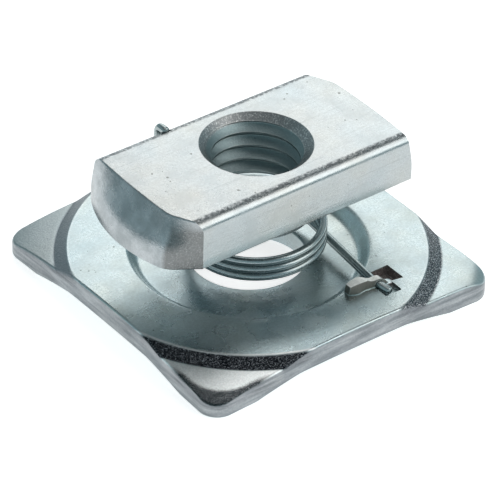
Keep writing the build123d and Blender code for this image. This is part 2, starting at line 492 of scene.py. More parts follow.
def plated_steel(name, colour, rough, grain_height, scratches, regions=(), vector_from=None,
                 pit_size=0.16, drift=0.45, mottle=0.09):
    """Zinc-plated steel. Each region gives a mask, a colour, a roughness and how much coarser its grain is."""
    made = bpy.data.materials.new(name)
    made.use_nodes = True
    tree = made.node_tree
    shader = tree.nodes["Principled BSDF"]
    shader.inputs["Metallic"].default_value = 1.0
    place = tree.nodes.new("ShaderNodeTexCoord").outputs["Object"]
    along = place
    if vector_from:
        source = tree.nodes.new("ShaderNodeAttribute")
        source.attribute_name = vector_from
        along = source.outputs["Vector"]
    grain = place_group(tree, "Plating Grain", plating_grain, place, Grains_per_Metre=4200.0)
    pits = place_group(tree, "Fine Pits", fine_pits, place, Size=pit_size)
    lines = place_group(tree, "Drawn Scratches", drawn_scratches, along, Amount=scratches)
    rub_and_highlight = place_group(tree, "Edge Rub And Highlight", edge_rub_and_highlight, place)
    tint = place_group(tree, "Passivation Tint", passivation_tint, place, Colour=(*colour, 1), Strength=drift)
    shade = tint.outputs["Colour"]
    rough_map = stretch(tree, grain.outputs["Patches"], 0.35, 0.65, rough - 0.05, rough + 0.07)
    speckle = stretch(tree, grain.outputs["Height"], 0.42, 0.60, 1 - mottle, 1 + mottle / 2)
    shade = mix_colour(tree, times(tree, pits.outputs["Mask"], 0.7), shade, tinted(colour, 0.25, 0.25, 0.22))
    shade = mix_colour(tree, times(tree, lines.outputs["Mask"], 0.6), shade, tinted(colour, 0.55, 0.56, 0.56))
    height = plus(tree, times(tree, grain.outputs["Height"], grain_height),
                  times(tree, lines.outputs["Height"], grain_height * 0.7))
    height = math_node(tree, "SUBTRACT", height, times(tree, pits.outputs["Mask"], 0.6))
    x, y, z = split_up(tree, place)
    across = length_of(tree, x, y)
    for region in regions:
        mask, tone, region_rough, coarse = region(tree, place, x, y, z, across)
        shade = mix_colour(tree, mask, shade, tone)
        rough_map = mix_value(tree, mask, rough_map, region_rough)
        height = plus(tree, height, times(tree, grain.outputs["Height"], coarse, mask))
    speckled = tree.nodes.new("ShaderNodeVectorMath")
    speckled.operation = "SCALE"
    tree.links.new(shade, speckled.inputs[0])
    tree.links.new(speckle, speckled.inputs["Scale"])
    # edges painted bright: rubbing together with a painted highlight
    shade = mix_colour(tree, times(tree, rub_and_highlight.outputs["Mask"], 0.6), speckled.outputs["Vector"],
                       tinted(colour, 1.6, 1.56, 1.5))
    tree.links.new(shade, shader.inputs["Base Color"])
    tree.links.new(rough_map, shader.inputs["Roughness"])
    bump = tree.nodes.new("ShaderNodeBump")
    bump.inputs["Strength"].default_value = 0.5
    bump.inputs["Distance"].default_value = 0.04 * MM
    tree.links.new(height, bump.inputs["Height"])
    tree.links.new(bump.outputs["Normal"], shader.inputs["Normal"])
    return made


# ---------------------------------------------------------------- the square washer

DISH_FLOOR, RING_TOP, STEP_FOOT = 2.6, 3.95, 2.9
ROLL_START, TIP_RADIUS, REACH_OUT = 22.3, 27.43, 27.9
# section of the pressing as (radius, height), with the rounding of its inner corners, above and underneath
TOP_CORNERS = [(6.75, DISH_FLOOR), (12.7, DISH_FLOOR), (13.85, RING_TOP), (18.4, RING_TOP), (20.6, 3.80),
               (22.05, STEP_FOOT), (ROLL_START, STEP_FOOT)]
TOP_RADII = [1.1, 0.9, 30, 0.16, 0.22]
UNDER_CORNERS = [(6.75, 0.0), (14.04, 0.0), (15.19, 1.05), (21.0, 1.05), (24.1, 0.0), (REACH_OUT, 0.0)]
UNDER_RADII = [0.5, 0.6, 0.9, 1.2]
# each corner's even slope and its roll at the tip, and the power by which the roll sets in
DROOP = ((0.0, 1.0, 3.0), (0.75, 0.4, 2.4), (0.80, 0.32, 6.0), (0.0, 0.85, 4.5))
HOLE_BREAK = 0.25
AROUND = 432
CROWDING = 0.15  # draws the columns of points together towards the corners
PACKED = 0.012  # least distance between rows that are crowded at the rim


def rim_radius(angle, side, hollow, corner):
    """Distance from the middle to the washer's rim in a direction: bowed sides and rounded corners."""
    fold = abs((angle + pi / 4) % (pi / 2) - pi / 4)
    bow = (side / 2) ** 2 / hollow
    half = side / 2 - hollow
    reach = half / cos(fold)
    for _ in range(6):
        reach = (half + (reach * sin(fold)) ** 2 / bow) / cos(fold)
    middle = half + (side / 2 - corner) ** 2 / bow - corner * 1.001
    along = middle * (cos(fold) + sin(fold))
    room = along ** 2 - (2 * middle ** 2 - corner ** 2)
    if room > 0 and reach * sin(fold) > middle - 2 * corner * middle / bow:
        reach = along + sqrt(room)
    return reach


def washer_rows(settings):
    """Rows of the washer's section, from the hole's upper rim outward, round the rim and back underneath."""
    top = rounded_line(TOP_CORNERS, TOP_RADII, 5)
    top += [(r, STEP_FOOT) for r in steps(ROLL_START, REACH_OUT, 20)[1:]]
    under = rounded_line(UNDER_CORNERS, UNDER_RADII, 5)
    hole, lip, rim = settings.hole / 2 / MM, HOLE_BREAK, settings.rim_break / MM
    lip_arc, rim_arc = steps(0, pi / 2, 5), steps(0, pi / 2, 6)
    rows = [("fixed", hole, z) for z in steps(lip, DISH_FLOOR - lip, 4)]
    rows += [("fixed", hole + lip * (1 - cos(a)), DISH_FLOOR - lip * (1 - sin(a))) for a in lip_arc[1:]]
    spread = [8.2, 9.6, 11.0, 15.2, 16.6, 18.0, 19.0] + [r for r, _ in top if r > hole + lip + 0.1]
    rows += [("top", r, 0) for r in sorted(spread)]
    rows += [("rim_top", rim * (1 - sin(a)), rim * (1 - cos(a))) for a in rim_arc]
    rows += [("side", part, 0) for part in (0.3, 0.7)]
    rows += [("rim_under", rim * (1 - cos(a)), rim * (1 - sin(a))) for a in lip_arc]
    spread = [8.5, 10.5, 12.3, 17.0, 19.0, 25.5] + [r for r, _ in under if r > hole + lip + 0.1]
    rows += [("under", r, 0) for r in sorted(spread, reverse=True)]
    rows += [("fixed", hole + lip * (1 - sin(a)), lip * (1 - cos(a))) for a in lip_arc[:-1]]
    return rows, top, under


def top_height(top, radius, angle):
    """Height of the washer's upper face, with the roll of the corner that lies in this direction."""
    slope, roll, power = DROOP[int(angle % (2 * pi) / (pi / 2)) % 4]
    out = max(radius - ROLL_START, 0.0) / (TIP_RADIUS - ROLL_START)
    return height_on(top, radius) - slope * out - roll * out ** power


def press_washer(obj, settings):
    """Presses the spun blank to its section and shears its rim to the square."""
    rows, top, under = washer_rows(settings)
    rim = settings.rim_break / MM
    last_top = max(i for i, row in enumerate(rows) if row[0] == "top")
    first_under = min(i for i, row in enumerate(rows) if row[0] == "under")

    def rounding(inset):
        return rim - sqrt(max(rim ** 2 - (rim - inset) ** 2, 0.0))

    number = obj.data.attributes["row"].data
    for vertex in obj.data.vertices:
        index = number[vertex.index].value
        kind, a, b = rows[index]
        angle = atan2(vertex.co.y, vertex.co.x)
        angle -= CROWDING * sin(4 * angle + pi)
        edge = rim_radius(angle, settings.side / MM, settings.hollow / MM, settings.corner / MM)
        if kind == "fixed":
            radius, height = a, b
        elif kind == "top":
            radius = min(a, edge - rim - PACKED * (last_top - index + 1))
            height = top_height(top, radius, angle)
        elif kind == "rim_top":
            radius = edge - a
            height = top_height(top, radius, angle) - rounding(a)
        elif kind == "side":
            radius = edge
            crown = top_height(top, edge, angle) - rim
            height = crown + (rim + height_on(under, edge) - crown) * a
        elif kind == "rim_under":
            radius = edge - a
            height = height_on(under, radius) + rounding(a)
        else:
            radius = min(a, edge - rim - PACKED * (index - first_under + 1))
            height = height_on(under, radius)
        vertex.co = Vector((radius * cos(angle), radius * sin(angle), height)) * MM


# the lower leg: where it leaves the coil, its kink in the clip, and its end
LEG_START, CLIP_BEND = Vector((8.234, -1.350, 4.35)), Vector((7.016, -14.0, 4.078))
LEG_END = Vector((7.40, -16.66, 3.99))
CLIP_FOOT, PASSAGE_START = 2.3, 9.4  # height of the clip's foot, and how far along the leg its passage begins
CLIP_STATIONS = (  # x, y of the middle, height, half width on top, half width at the foot
    (3.15, -14.05, 3.98, 0.40, 0.46), (3.36, -14.08, 4.98, 0.42, 0.58), (3.8, -14.05, 5.04, 0.50, 0.90),
    (4.3, -14.02, 5.06, 0.56, 1.08), (4.8, -14.02, 5.07, 0.60, 0.98), (5.3, -14.03, 5.05, 0.61, 0.90),
    (5.8, -14.22, 4.96, 0.36, 0.80), (6.1, -14.3, 4.80, 0.36, 0.72), (6.45, -14.4, 4.76, 0.38, 0.66),
    (6.8, -14.45, 4.80, 0.40, 0.62), (7.15, -14.5, 4.82, 0.42, 0.62), (7.5, -14.55, 4.74, 0.42, 0.62),
    (7.9, -14.65, 4.40, 0.40, 0.60), (8.35, -14.75, 3.98, 0.36, 0.56), (8.8, -14.85, 3.93, 0.30, 0.50),
    (9.3, -14.95, 3.60, 0.20, 0.40))
POCKET_CORNERS = ((7.75, -14.85), (10.36, -15.36), (10.36, -12.45), (7.75, -12.45))
POCKET_FLOOR, ABOVE = 2.65, 6.0
TAIL_GROOVE = ((6.5, -17.0, 3.42), (8.8, -15.12, ABOVE))


def clip_loops():
    """Loops along the lug and the strap that is folded over the wire: trapezoids across the wire's way."""
    loops = []
    for x, y, top, half_top, half_foot in CLIP_STATIONS:
        corners = [(0, CLIP_FOOT), (half_foot, CLIP_FOOT), (half_foot * 0.93, min(3.85, top - 0.1)),
                   (half_top, top), (0, top)]
        half = rounded_line(corners, [0, 0.1, 0.03], 2)
        loops.append([(x, y + a, b) for a, b in half] + [(x, y - a, b) for a, b in reversed(half[1:-1])])
    return loops


# the near corner's sands are painted light: shade on its step, a highlight on its flat and a dark reflection
# round its roll
SANDS = {  # worked places: dark colour, its pale grains, grains per metre
    "step": ((0.07, 0.08, 0.09, 1), (0.85, 0.87, 0.90, 1), 8000.0),
    "near step shade": ((0.003, 0.005, 0.008, 1), (0.33, 0.36, 0.39, 1), 8500.0),
    "near flat highlight": ((0.86, 0.90, 0.90, 1), (1.0, 1.0, 1.0, 1), 9000.0),
    "near roll reflection": ((0.025, 0.032, 0.036, 1), (0.40, 0.42, 0.44, 1), 11000.0),
    "pocket": ((0.33, 0.285, 0.275, 1), (0.75, 0.70, 0.68, 1), 7000.0),
    "countersink": ((0.24, 0.25, 0.255, 1), (0.66, 0.67, 0.67, 1), 5000.0),
    "sheared corner": ((0.145, 0.15, 0.15, 1), (0.29, 0.295, 0.295, 1), 7000.0)}
# several tones are painted light: a highlight on the ring's edge, shade on the left corner, the washer's sides
# and the thread, a highlight on the lug's top with shade on its sides, and a dark reflection along the nut's top
# edges
TONES = {
    "smooth step": (0.24, 0.265, 0.285, 1), "painted edge highlight": (0.80, 0.81, 0.81, 1),
    "left corner shade": (0.28, 0.315, 0.325, 1), "thread": (0.20, 0.27, 0.28, 1),
    "side": (0.17, 0.188, 0.205, 1), "side streak": (0.40, 0.42, 0.44, 1),
    "lug side shade": (0.14, 0.13, 0.11, 1), "lug top highlight": (0.97, 0.95, 0.91, 1),
    "end": (0.29, 0.32, 0.335, 1), "end blotch": (0.47, 0.50, 0.52, 1), "dark reflection line": (0.09, 0.10, 0.11, 1)}


def sand(tree, place, kind):
    """The dark colour of a worked place, or of a painted shade, highlight or reflection, with its pale grains
    strewn over it.
    """
    dark, light, grains = SANDS[kind]
    return mix_colour(tree, stretch(tree, noise(tree, place, grains, 2.0, 0.8), 0.54, 0.62), dark, light)


# where the painted dark reflection round the near corner's rolled tip lies
ROLL_CENTRE, ROLL_FROM, ROLL_FULL = -14.7, 4.35, 4.75  # the near corner's roll: its X and Y, and its reach


def near_corner(tree, x, y):
    """1 by the corner on the left front, 0 by the three others: where that corner's painted highlights and shade
    go.
    """
    return stretch(tree, plus(tree, x, y), -20 * MM, -12 * MM, 1.0, 0.0)


def step_region(tree, place, x, y, z, across):
    """The ring's outer step: torn and sandy, smooth at the left one, and painted darkest at the near corner as
    painted shade.
    """
    mask = times(tree, between(tree, across, 20.66, 22.2, 0.12), between(tree, z, 2.5, 3.9, 0.08))
    to_right = stretch(tree, math_node(tree, "SUBTRACT", x, y), -12 * MM, 12 * MM)
    tone = mix_colour(tree, to_right, TONES["smooth step"], sand(tree, place, "step"))
    # the near corner's part of the step is painted shade
    return mask, mix_colour(tree, near_corner(tree, x, y), tone, sand(tree, place, "near step shade")), 0.36, 3.0


def ring_edge_region(tree, place, x, y, z, across):
    """The edge over that step: a painted highlight, faint all round and strongest at the near corner."""
    mask = times(tree, between(tree, across, 20.36, 20.62, 0.07), between(tree, z, 3.6, 4.2, 0.05))
    # painted highlight, strongest at the near corner
    strength = stretch(tree, near_corner(tree, x, y), 0.0, 1.0, 0.1, 0.7)
    return times(tree, mask, strength), TONES["painted edge highlight"], 0.32, 0.5


def corner_region(tree, place, x, y, z, across):
    """The corners outside the step: the near one painted pale as a painted highlight, with a painted dark
    reflection round its rolled tip, and the left one painted dull as painted shade.
    """
    mask = times(tree, between(tree, across, 22.25, 40, 0.1), between(tree, z, 1.2, 3.2, 0.1))
    left = stretch(tree, math_node(tree, "SUBTRACT", y, x), 24 * MM, 32 * MM, 0.0, 0.85)
    near = near_corner(tree, x, y)
    past = [math_node(tree, "MAXIMUM", math_node(tree, "SUBTRACT", ROLL_CENTRE * MM, axis), 0.0)
            for axis in (x, y)]
    grain = stretch(tree, noise(tree, place, 9000.0, 2.0, 0.8), 0.3, 0.7, -0.25 * MM, 0.25 * MM)
    reach = plus(tree, length_of(tree, *past), grain)
    roll = times(tree, stretch(tree, reach, ROLL_FROM * MM, ROLL_FULL * MM),
                 stretch(tree, across, 22.7 * MM, 23.9 * MM))
    # painted highlight on the near flat, painted dark reflection on its roll, painted shade on the left corner
    near_highlight_and_reflection = mix_colour(tree, roll, sand(tree, place, "near flat highlight"), sand(tree, place, "near roll reflection"))
    tone = mix_colour(tree, near, TONES["left corner shade"], near_highlight_and_reflection)
    return times(tree, mask, math_node(tree, "MAXIMUM", near, left)), tone, 0.34, 1.0


def side_region(tree, place, x, y, z, across):
    """The sheared sides: painted dark as painted shade, with streaks along them."""
    upright = stretch(tree, math_node(tree, "ABSOLUTE", facing(tree)[2]), 0.45, 0.25)
    streaks = stretch(tree, noise(tree, scaled(tree, place, (0.25, 0.25, 2.5)), 620.0, 4.0, 0.6), 0.36, 0.66)
    # the dark side tone is painted shade; the streaks run along the steel
    tone = mix_colour(tree, streaks, TONES["side"], TONES["side streak"])
    return times(tree, upright, between(tree, across, 19.3, 30, 0.2), 0.9), tone, 0.36, 0.8


def pocket_region(tree, place, x, y, z, across):
    """Inside the pocket: raw, brown steel."""
    mask = times(tree, between(tree, x, 7.7, 10.45, 0.05), between(tree, y, -15.42, -12.4, 0.05),
                 between(tree, z, 1, 3.86, 0.05))
    return mask, sand(tree, place, "pocket"), 0.6, 2.0


def lug_region(tree, place, x, y, z, across):
    """The staked lug and strap: a warm, pale top that is a painted highlight, and dark sides that are painted
    shade.
    """
    mask = times(tree, between(tree, x, 2.6, 9.0, 0.1), between(tree, y, -15.4, -12.9, 0.1),
                 between(tree, z, 4.02, 6, 0.06), 0.9)
    # painted highlight on the lug's top, painted shade on its sides
    return mask, mix_colour(tree, facing_up(tree, 0.8, 0.95), TONES["lug side shade"], TONES["lug top highlight"]), 0.5, 2.0


class SPRINGNUT_OT_washer(bpy.types.Operator):
    """Adds the square washer with its staked clip"""

    bl_idname = "springnut.washer"
    bl_label = "Square Washer"

    def execute(self, context):
        settings = context.scene.springnut_washer
        rows, _, _ = washer_rows(settings)
        # a zigzag stands in for the section until the blank is pressed
        washer = closed_loop("washer", [(10 + i * 0.1, 0, i % 2 * 0.1) for i in range(len(rows))])
        mark = washer.data.attributes.new("row", "INT", "POINT")
        for i in range(len(rows)):
            mark.data[i].value = i
        with whole_mesh(washer):
            bpy.ops.mesh.spin(steps=AROUND, angle=2 * pi, center=(0, 0, 0), axis=(0, 0, 1))
        with whole_mesh(washer):
            bpy.ops.mesh.remove_doubles(threshold=MERGE)
        if len(washer.data.vertices) != len(rows) * AROUND:
            raise RuntimeError(f"the spun blank has {len(washer.data.vertices)} points")
        press_washer(washer, settings)
        washer.data.attributes.remove(washer.data.attributes["row"])
        outward(washer)
        pocket = [[(x, y, z) for x, y in POCKET_CORNERS] for z in (POCKET_FLOOR, ABOVE)]
        combine(washer, bridged("pocket", pocket), "DIFFERENCE")
        combine(washer, block("tail_groove", *TAIL_GROOVE, 0.12), "DIFFERENCE")
        combine(washer, bridged("clip", clip_loops()), "UNION")
        room = context.scene.springnut_wire.wire / 2 / MM + CLEAR
        way = (CLIP_BEND - LEG_START).normalized()
        start = LEG_START + way * PASSAGE_START
        combine(washer, rod("leg_passage", start, CLIP_BEND + way * 0.1, room), "DIFFERENCE")
        way = (LEG_END - CLIP_BEND).normalized()
        combine(washer, rod("tail_passage", CLIP_BEND - way * 0.1, LEG_END + way * CLEAR, room), "DIFFERENCE")
        outward(washer)
        finish_piece(washer, plated_steel(
            "Plated Washer", settings.colour, 0.27, 0.6, 0.3,
            regions=(step_region, ring_edge_region, corner_region, side_region, pocket_region, lug_region)))
        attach(washer, "washer")
        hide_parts("square_washer")
        return {"FINISHED"}


# ---------------------------------------------------------------- the spring

COIL_MIDDLE, COIL_LOW, COIL_RISE = (0.669, -0.622), 4.35, 3.297
COIL_FROM, COIL_SWEEP, SPLIT_SWEEP = -5.5, 1163.5, 455.0  # degrees: start, wound, where the lengths meet
HOOK = [(-6.3, 8.728, 10.6), (-6.3, 8.728, 17.96), (-6.3, 7.078, 17.96)]
HOOK_RADII, RISER_FOOT = [2.2, 2.2, 0.75], 3.6
AROUND_WIRE = 16


def coil_point(sweep, radius):
    """A point of the coil, by the angle wound from its start."""
    angle = radians(COIL_FROM + sweep)
    return Vector((COIL_MIDDLE[0] + radius * cos(angle), COIL_MIDDLE[1] + radius * sin(angle),
                   COIL_LOW + COIL_RISE * sweep / COIL_SWEEP))


def coil_points(first, last, radius):
    """Points of the coil between two angles wound, about 5 degrees apart."""
    return [coil_point(sweep, radius) for sweep in steps(first, last, ceil((last - first) / 5.0) + 1)]


def wire_mesh(name, points, thin_ends, settings):
    """A round wire through closely set points, its rings in order, and thinner at the places in thin_ends."""
    count = len(points)
    shares = [thin_ends.get(i, thin_ends.get(i - count, 1.0)) for i in range(count)]
    line = bpy.data.curves.new(name, "CURVE")
    line.dimensions = "3D"
    line.bevel_depth = settings.wire / 2
    line.bevel_resolution = (AROUND_WIRE - 4) // 2
    spline = line.splines.new("POLY")
    spline.points.add(count - 1)
    for spot, point, share in zip(spline.points, points, shares):
        spot.co, spot.radius = (*(point * MM), 1), share
    obj = bpy.data.objects.new(name, line)
    bpy.context.scene.collection.objects.link(obj)
    pick(obj)
    bpy.ops.object.convert(target="MESH")
    obj = bpy.context.object
    with whole_mesh(obj):
        bpy.ops.mesh.fill_holes(sides=0)
    around = len(obj.data.vertices) // count
    if around * count != len(obj.data.vertices):
        raise RuntimeError(f"{name} has {len(obj.data.vertices)} points for {count} rings")
    run = [0.0]
    for a, b in zip(points, points[1:]):
        run.append(run[-1] + (b - a).length)
    half = settings.wire / 2 / MM
    surface = obj.data.attributes.new("along_wire", "FLOAT_VECTOR", "POINT")
    for vertex in obj.data.vertices:
        ring, spot = divmod(vertex.index, around)
        if abs((vertex.co / MM - points[ring]).length - half * shares[ring]) > 0.08:
            raise RuntimeError(f"{name}: ring {ring} isn't where it should be")
        turn = 2 * pi * spot / around
        surface.data[vertex.index].vector = (run[ring] * MM, half * MM * cos(turn), half * MM * sin(turn))
    with whole_mesh(obj):
        bpy.ops.mesh.normals_make_consistent(inside=False)
    return obj, around


def share_out(obj, around, shares):
    """Each ring of the wire follows the second body by its own share."""
    weights = obj.data.attributes["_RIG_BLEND"]
    for vertex in obj.data.vertices:
        weights.data[vertex.index].value = shares[vertex.index // around]


def leg_points():
    """The lower leg, from its rounded end in the clip over the kink to just before the coil."""
    way = (CLIP_BEND - LEG_END).normalized()
    bend = rounded_line([LEG_END, CLIP_BEND, LEG_START], [2.5], 6)
    leg = [LEG_END, LEG_END + way * 0.1, LEG_END + way * 0.25, *bend[1:-1]]
    return leg + [bend[-2].lerp(LEG_START, part) for part in steps(0.0, 0.96, 14)[1:]]


def riser_points(top, radius):
    """The way up from the coil's top, behind the nut and over its edge to the hook's rounded tip."""
    angle = radians(COIL_FROM + COIL_SWEEP)
    heading = Vector((-sin(angle), cos(angle), COIL_RISE / radians(COIL_SWEEP) / radius)).normalized()
    bends = rounded_line([top, top + heading * RISER_FOOT, *HOOK], HOOK_RADII, 9)
    riser = []
    for a, b in zip(bends, bends[1:]):
        count = max(1, ceil((b - a).length / 0.8))
        riser += [a + (b - a) * i / count for i in range(1, count + 1)]
    tip = (riser[-1] - riser[-2]).normalized()
    return riser[:-1] + [riser[-1] - tip * 0.28, riser[-1] - tip * 0.1, riser[-1]]


class SPRINGNUT_OT_spring(bpy.types.Operator):
    """Adds the coil spring in two lengths of wire, each shared out between two bodies"""

    bl_idname = "springnut.spring"
    bl_label = "Coil Spring"

    def execute(self, context):
        settings = context.scene.springnut_wire
        radius = settings.coil / MM
        finish = plated_steel("Plated Wire", settings.colour, 0.24, 0.5, 0.5, vector_from="along_wire")
        leg, low = leg_points(), coil_points(0, SPLIT_SWEEP, radius)
        lower, around = wire_mesh("spring_lower", leg + low, {0: 0.6, 1: 0.88}, settings)
        finish_piece(lower, finish, 60)
        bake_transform(lower, "washer", "spring",
                 start=coil_point(0, radius) * MM, end=coil_point(SPLIT_SWEEP, radius) * MM)
        share_out(lower, around, [0.0] * len(leg) + steps(0.0, 1.0, len(low)))
        high = coil_points(SPLIT_SWEEP, COIL_SWEEP, radius)
        top = high[-1]
        riser = riser_points(top, radius)
        upper, around = wire_mesh("spring_upper", high + riser, {-1: 0.55, -2: 0.86}, settings)
        finish_piece(upper, finish, 60)
        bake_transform(upper, "spring", "nut", start=coil_point(SPLIT_SWEEP, radius) * MM, end=top * MM)
        share_out(upper, around, steps(0.0, 1.0, len(high)) + [1.0] * len(riser))
        for piece in (lower, upper):
            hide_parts("retaining_spring")
        return {"FINISHED"}


# ---------------------------------------------------------------- the channel nut

BAR_MIDDLE, HALF_WIDTH = (-0.231, -0.822), 8.9
SEAT, UPRIGHT, CREST = 12.0, 14.4, 18.0  # heights: underside, where the ends begin to lean in, top
FOOT_END = dict(length=36.4, end_radius=18.2, cut_depth=2.3)
TOP_END = dict(length=31.1, end_radius=110.0, cut_depth=3.9)
CUT_HALF, CUT_BLEND = 13.5, 3.0  # where the leading corners' flats meet the long sides, and their blend
EDGE_SOFT, LEAN_SOFT, FOOT_SOFT, CREST_SOFT = 0.13, 1.1, 0.18, 0.14
THREAD_AXIS, AROUND_THREAD = (0.4194, -0.6218), 96
SINK_RADIUS, SINK_DEPTH = 6.475, 1.15
COLLAR_RADIUS, COLLAR_FOOT = 6.75, 9.5
NOTCH_HALF, NOTCH_FLOOR = 0.65, 17.4


def end_line(length, end_radius, cut_depth):
    """The right-hand end from above: from its trailing corner round the bow, then the leading corner's flat."""
    def end_x(y):
        return length / 2 - end_radius + sqrt(end_radius ** 2 - y ** 2)
    corner_y = HALF_WIDTH - cut_depth
    corner, finish = Vector((end_x(corner_y), corner_y)), Vector((CUT_HALF, HALF_WIDTH))
    along = (finish - corner).normalized()
    bow_way = Vector((-corner_y, end_radius)).normalized()
    reach = CUT_BLEND * tan(bow_way.angle(along) / 2)
    line = [Vector((end_x(y), y)) for y in steps(-HALF_WIDTH, corner_y - reach, 40)]
    leave = corner + along * reach
    enter = line[-1]
    line += [enter.lerp(corner, t).lerp(corner.lerp(leave, t), t) for t in steps(0, 1, 9)[1:]]
    line += [leave.lerp(finish, t) for t in steps(0, 1, 8)[1:]]
    inward, radii = Vector((0.5, 0)), [EDGE_SOFT, *[0] * (len(line) - 2), EDGE_SOFT]
    return rounded_line([line[0] - inward, *line, finish - inward], radii, 3)


def end_at(height):
    """The right-hand end's line at a height of the bar, as the end leans in above its upright foot."""
    above, soft = height - UPRIGHT, LEAN_SOFT
    eased = max(above, 0.0) if abs(above) > soft else (above + soft) ** 2 / (4 * soft)
    part = eased / (CREST - UPRIGHT)
    return [a.lerp(b, part) for a, b in zip(end_line(**FOOT_END), end_line(**TOP_END))]


def held_to(line, half_width):
    """The line with what lies beyond the half width drawn together where it crosses it."""
    held = []
    for i, point in enumerate(line):
        if abs(point.y) <= half_width:
            held.append(point)
            continue
        ahead = 1 if point.y < 0 else -1
        k = i
        while abs(line[k + ahead].y) > half_width:
            k += ahead
        a, b = line[k], line[k + ahead]
        held.append(a.lerp(b, (abs(a.y) - half_width) / (abs(a.y) - abs(b.y))))
    return held


def bar_loop(height, half_width, draw_in=0.0):
    """Outline of the nut at a height, held to a half width and drawn in at the ends."""
    right = [Vector((p.x - draw_in, p.y)) for p in held_to(end_at(height), half_width)]
    left = [Vector((-p.x, -p.y)) for p in right]
    ring = []
    for here, there in ((right, left), (left, right)):
        ring += here
        ring += [here[-1].lerp(there[0], i / 12) for i in range(1, 12)]
    return [(p.x + BAR_MIDDLE[0], p.y + BAR_MIDDLE[1], height) for p in ring]


def bar_levels(edge):
    """Loops of the nut from its seat to its crest."""
    loops = []
    for angle in steps(0, pi / 2, 4):
        inset = FOOT_SOFT * (1 - sin(angle))
        loops.append(bar_loop(SEAT + FOOT_SOFT * (1 - cos(angle)), HALF_WIDTH - inset, inset))
    loops += [bar_loop(z, HALF_WIDTH) for z in steps(UPRIGHT - LEAN_SOFT, UPRIGHT + LEAN_SOFT, 9) + [16.1]]
    for angle in steps(0, pi / 2, 11):
        z = CREST - edge + edge * sin(angle)
        draw_in = CREST_SOFT - sqrt(max(CREST_SOFT ** 2 - max(z - CREST + CREST_SOFT, 0.0) ** 2, 0.0))
        loops.append(bar_loop(z, HALF_WIDTH - edge * (1 - cos(angle)), draw_in))
    return loops


def about_thread(name, section):
    """A solid turned about the thread's axis, from a section given as (radius, height)."""
    turns = [2 * pi * i / AROUND_THREAD for i in range(AROUND_THREAD)]
    return bridged(name, [[(THREAD_AXIS[0] + radius * cos(a), THREAD_AXIS[1] + radius * sin(a), height)
                           for a in turns] for radius, height in section])


def collar():
    """The low collar under the nut, drawn out of the bar so that the thread has more turns."""
    side, foot = COLLAR_RADIUS, COLLAR_FOOT
    return about_thread("collar", [
        (side + 0.35, SEAT + 0.3), (side + 0.35, SEAT - 0.02), (side + 0.1, SEAT - 0.12), (side, SEAT - 0.35),
        (side, foot + 0.2), (side - 0.06, foot + 0.06), (side - 0.2, foot)])


def thread_cutter(settings):
    """A threaded plug through the nut and its collar, with a countersink at each end."""
    minor, major, pitch = settings.bore / 2 / MM, settings.thread / 2 / MM, settings.pitch / MM
    flat, flank, low = pitch / 8, pitch * 3 / 8 * 0.93, COLLAR_FOOT - 2.5 * pitch
    shoulder = minor + (major - minor) * 0.9
    tooth = closed_loop("thread_cutter", [(radius, 0, low + height) for radius, height in (
        (minor, 0), (minor, flat), (shoulder, flat + flank), (major, pitch / 2 + flat / 2),
        (shoulder, pitch - flank), (minor, pitch))])
    with whole_mesh(tooth):
        mesh = bmesh.from_edit_mesh(tooth.data)
        closing = [e for e in mesh.edges if {v.index for v in e.verts} == {0, 5}]
        bmesh.ops.delete(mesh, geom=closing, context="EDGES_FACES")
        bmesh.update_edit_mesh(tooth.data)
    screw = tooth.modifiers.new("Screw", "SCREW")
    screw.axis, screw.screw_offset, screw.iterations = "Z", pitch * MM, ceil((CREST - COLLAR_FOOT) / pitch) + 4
    screw.steps = screw.render_steps = 72
    screw.use_merge_vertices, screw.merge_threshold, screw.use_normal_calculate = True, MERGE, True
    pick(tooth)
    bpy.ops.object.modifier_apply(modifier=screw.name)
    for height, keep_above in ((COLLAR_FOOT - 0.5, True), (CREST + 0.5, False)):
        with whole_mesh(tooth):
            bpy.ops.mesh.bisect(plane_co=(0, 0, height * MM), plane_no=(0, 0, 1), use_fill=True,
                                clear_inner=keep_above, clear_outer=not keep_above)
    outward(tooth)
    for vertex in tooth.data.vertices:
        vertex.co += Vector((*THREAD_AXIS, 0)) * MM
    for face, way in ((COLLAR_FOOT, 1), (CREST, -1)):
        combine(tooth, about_thread("countersink", [
            (SINK_RADIUS * 1.12, face - way * 0.6), (SINK_RADIUS, face), (minor + 0.1, face + way * SINK_DEPTH),
            (minor - 0.4, face + way * (SINK_DEPTH + 0.1))]), "UNION")
    return tooth


def bore_region(tree, place, x, y, z, across):
    """The bore: the thread painted dark and blue as painted shade, and its sandy countersinks."""
    from_axis = length_of(tree, *(math_node(tree, "SUBTRACT", a, b * MM) for a, b in zip((x, y), THREAD_AXIS)))
    mask = stretch(tree, from_axis, 6.55 * MM, 6.42 * MM, 0.0, 0.85)
    deep = stretch(tree, z, (CREST - 0.95) * MM, (CREST - 1.15) * MM)
    # the thread's dark tone is painted shade inside the bore
    return mask, mix_colour(tree, deep, sand(tree, place, "countersink"), TONES["thread"]), 0.38, 2.0


def end_region(tree, place, x, y, z, across):
    """The sheared ends: smooth, a little darker than the rolled faces, and darkest on the leading corners."""
    aside, along, _ = [math_node(tree, "ABSOLUTE", part) for part in facing(tree)]
    mask = times(tree, stretch(tree, aside, 0.25, 0.4),
                 stretch(tree, math_node(tree, "ABSOLUTE", x), 12.8 * MM, 13.1 * MM), 0.85)
    blotches = stretch(tree, noise(tree, place, 320.0, 3.0, 0.6), 0.38, 0.62)
    tone = mix_colour(tree, blotches, TONES["end"], TONES["end blotch"])
    tone = mix_colour(tree, stretch(tree, along, 0.45, 0.6), tone, sand(tree, place, "sheared corner"))
    return mask, tone, 0.27, 0.8


